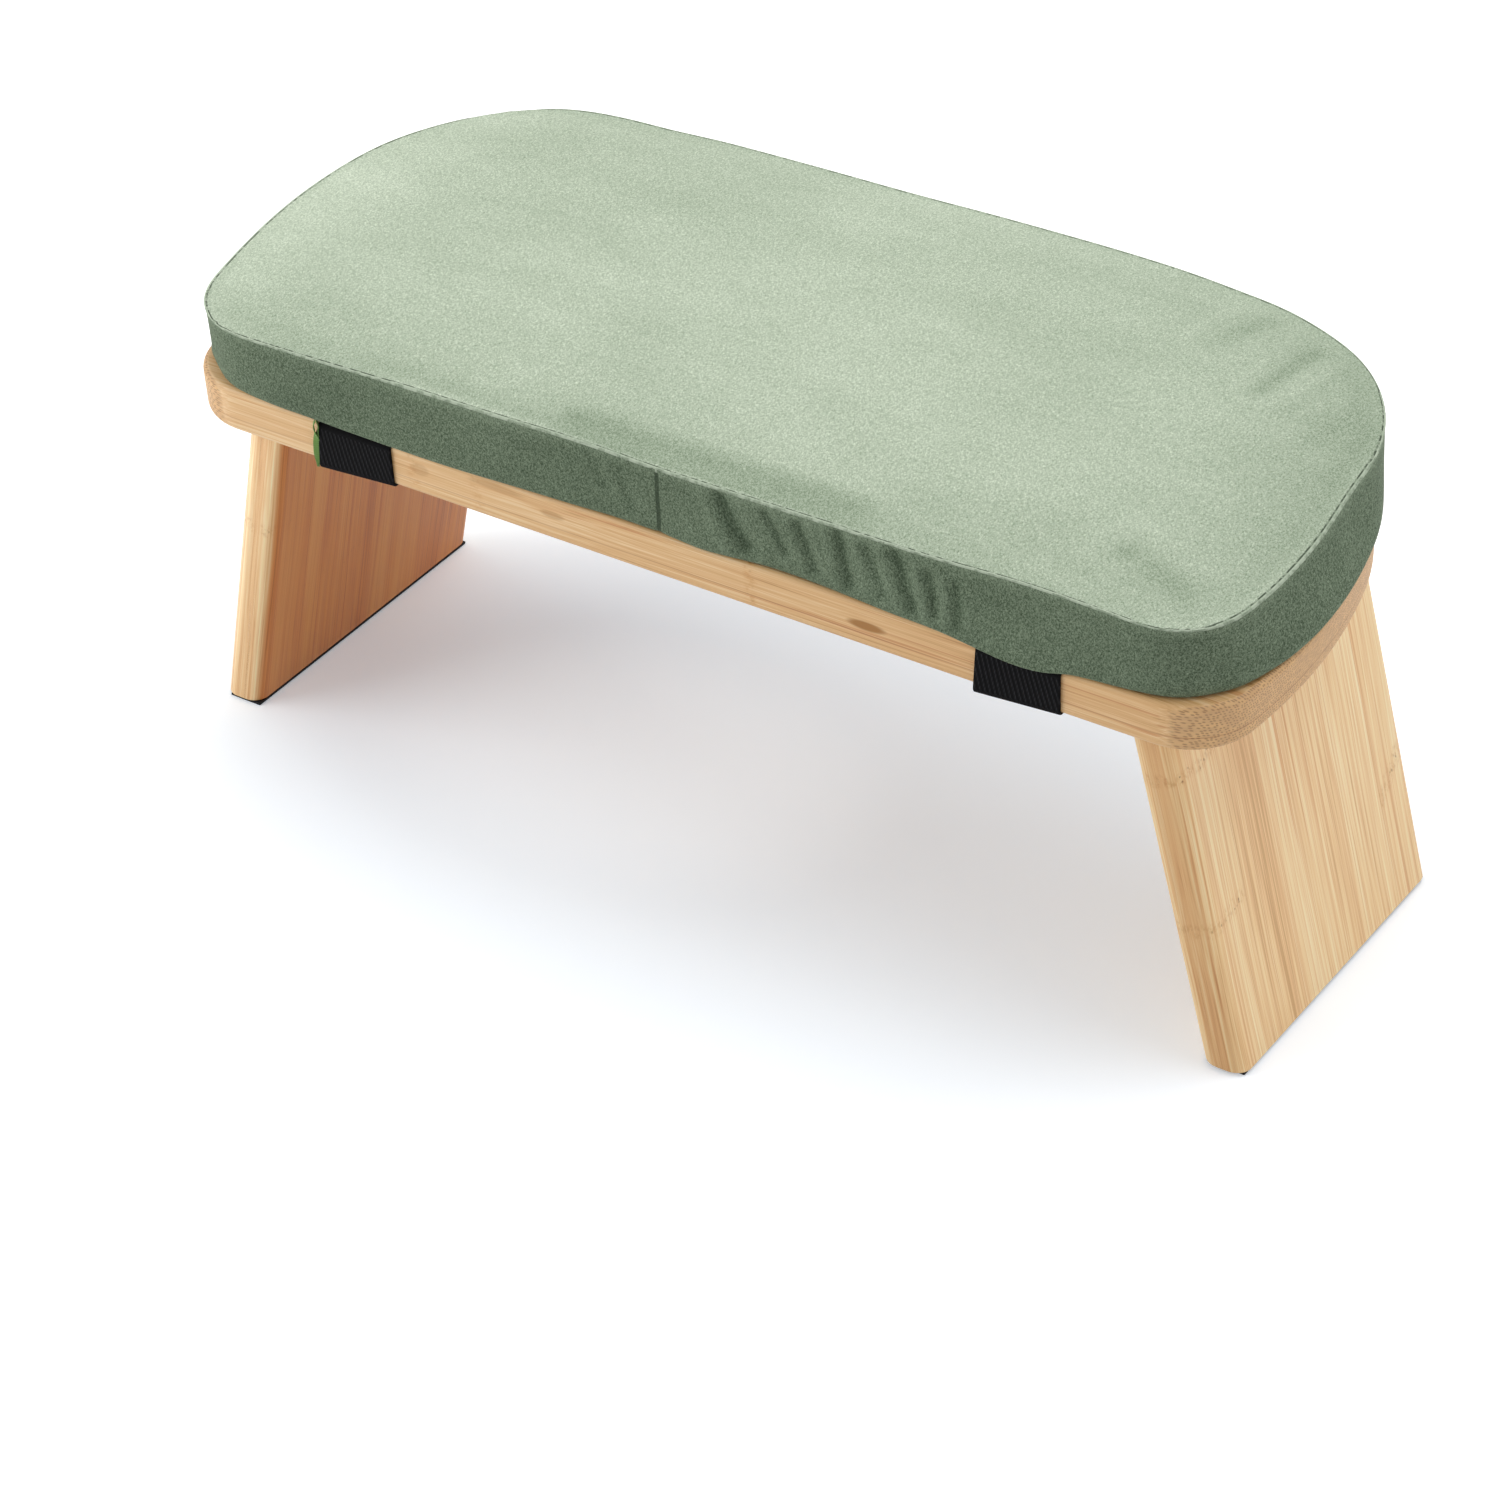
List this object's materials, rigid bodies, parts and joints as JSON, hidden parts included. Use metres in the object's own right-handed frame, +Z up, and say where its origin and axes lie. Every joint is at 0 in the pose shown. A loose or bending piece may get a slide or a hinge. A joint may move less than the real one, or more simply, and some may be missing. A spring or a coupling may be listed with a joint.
{
  "type": "folding meditation bench",
  "caption": "Low kneeling bench with a laminated bamboo seat, two splayed panel legs that fold flat under it, and a strapped-on velvet cushion.",
  "frame": {"origin": "on the floor, under the middle of the bench's bounding box", "axes": "+Z up; +X along the seat's length; -Y the low front edge at the sitter's knees"},
  "size_m": [0.4768, 0.2108, 0.2195],
  "materials": {
    "seat_bamboo": "satin",
    "leg_bamboo": "satin",
    "foot_rubber": "matte",
    "hinge_steel": "satin",
    "velvet": "matte",
    "foam": "matte",
    "zip_tape": "matte",
    "elastic": "matte",
    "ribbon": "matte"
  },
  "bodies": {
    "seat": {"seat_board": "seat_bamboo", "cushion_cover": "velvet", "cushion_foam": "foam", "cushion_zip": "zip_tape", "strap_left": "elastic", "strap_right": "elastic", "ribbon_tab": "ribbon", "hinge_left_front_seat_leaf": "hinge_steel", "hinge_left_front_pin": "hinge_steel", "hinge_left_rear_seat_leaf": "hinge_steel", "hinge_left_rear_pin": "hinge_steel", "screw_left_front_seat_a": "hinge_steel", "screw_left_front_seat_b": "hinge_steel", "screw_left_rear_seat_a": "hinge_steel", "screw_left_rear_seat_b": "hinge_steel", "hinge_right_front_seat_leaf": "hinge_steel", "hinge_right_front_pin": "hinge_steel", "hinge_right_rear_seat_leaf": "hinge_steel", "hinge_right_rear_pin": "hinge_steel", "screw_right_front_seat_a": "hinge_steel", "screw_right_front_seat_b": "hinge_steel", "screw_right_rear_seat_a": "hinge_steel", "screw_right_rear_seat_b": "hinge_steel"},
    "left_leg": {"leg_left": "leg_bamboo", "foot_pad_left": "foot_rubber", "hinge_left_front_leg_leaf": "hinge_steel", "hinge_left_rear_leg_leaf": "hinge_steel", "screw_left_front_leg_a": "hinge_steel", "screw_left_front_leg_b": "hinge_steel", "screw_left_rear_leg_a": "hinge_steel", "screw_left_rear_leg_b": "hinge_steel"},
    "right_leg": {"leg_right": "leg_bamboo", "foot_pad_right": "foot_rubber", "hinge_right_front_leg_leaf": "hinge_steel", "hinge_right_rear_leg_leaf": "hinge_steel", "screw_right_front_leg_a": "hinge_steel", "screw_right_front_leg_b": "hinge_steel", "screw_right_rear_leg_a": "hinge_steel", "screw_right_rear_leg_b": "hinge_steel"}
  },
  "joints": [
    {"name": "left_leg_fold", "type": "hinge", "parent": "seat", "child": "left_leg", "pos_m": [-0.1817, 0.00343, 0.15791], "axis": [0, -0.9942, -0.108], "range_deg": [0, 103]},
    {"name": "right_leg_fold", "type": "hinge", "parent": "seat", "child": "right_leg", "pos_m": [0.1817, 0.00343, 0.15791], "axis": [0, 0.9942, 0.108], "range_deg": [0, 103]}
  ]
}
